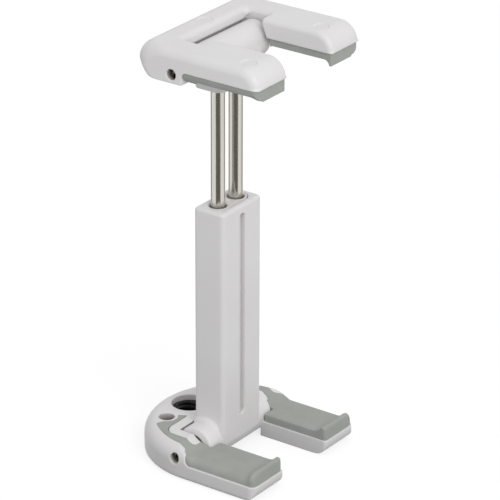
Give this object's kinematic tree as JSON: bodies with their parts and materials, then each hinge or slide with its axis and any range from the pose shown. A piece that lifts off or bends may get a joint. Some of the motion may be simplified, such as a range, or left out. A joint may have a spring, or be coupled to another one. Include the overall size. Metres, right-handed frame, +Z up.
{
  "type": "tripod phone clamp",
  "caption": "Folding spring clamp that grips a phone between padded forked jaws and screws onto a tripod by the thread in its base.",
  "frame": {"origin": "centre of the tripod thread at its mouth on the underside of the base", "axes": "+X across the jaws, the arms point to -Y, +Z up from the floor along the column; the tripod's screw leaves to -Z"},
  "size_m": [0.04, 0.0408, 0.1028],
  "materials": {
    "white_plastic": "satin moulded",
    "pad_rubber": "matte soft",
    "plug_plastic": "satin moulded",
    "collar_plastic": "matte moulded",
    "rod_steel": "drawn and lightly brushed",
    "spring_steel": "drawn wire",
    "pin_steel": "turned",
    "black_metal": "blackened, slightly glossy"
  },
  "bodies": {
    "base": {"base_body": "white_plastic", "lower_pad_left": "pad_rubber", "lower_pad_right": "pad_rubber", "tripod_insert": "black_metal", "lower_pin_left": "pin_steel", "lower_pin_right": "pin_steel", "lower_washer_left": "pin_steel", "lower_washer_right": "pin_steel"},
    "column": {"column_housing": "white_plastic", "guide_plug": "plug_plastic", "spring_left": "spring_steel", "spring_right": "spring_steel"},
    "carriage": {"rod_left": "rod_steel", "rod_right": "rod_steel", "collar_left": "collar_plastic", "collar_right": "collar_plastic", "collar_screw_left": "pin_steel", "collar_screw_right": "pin_steel", "head_block": "white_plastic"},
    "upper": {"upper_jaw": "white_plastic", "upper_pad_left": "pad_rubber", "upper_pad_right": "pad_rubber", "upper_pin_left": "pin_steel", "upper_pin_right": "pin_steel", "upper_washer_left": "pin_steel", "upper_washer_right": "pin_steel"}
  },
  "joints": [
    {"name": "column_fold", "type": "hinge", "parent": "base", "child": "column", "pos_m": [0, -0.01035, 0.00465], "axis": [1, 0, 0], "range_deg": [0, 90]},
    {"name": "rod_slide", "type": "slide", "parent": "column", "child": "carriage", "axis": [0, 0, 1], "range_m": [-0.0285, 0], "deforming": ["spring_left", "spring_right"]},
    {"name": "jaw_fold", "type": "hinge", "parent": "carriage", "child": "upper", "pos_m": [0, -0.01035, 0.0965], "axis": [1, 0, 0], "range_deg": [0, 90]}
  ]
}
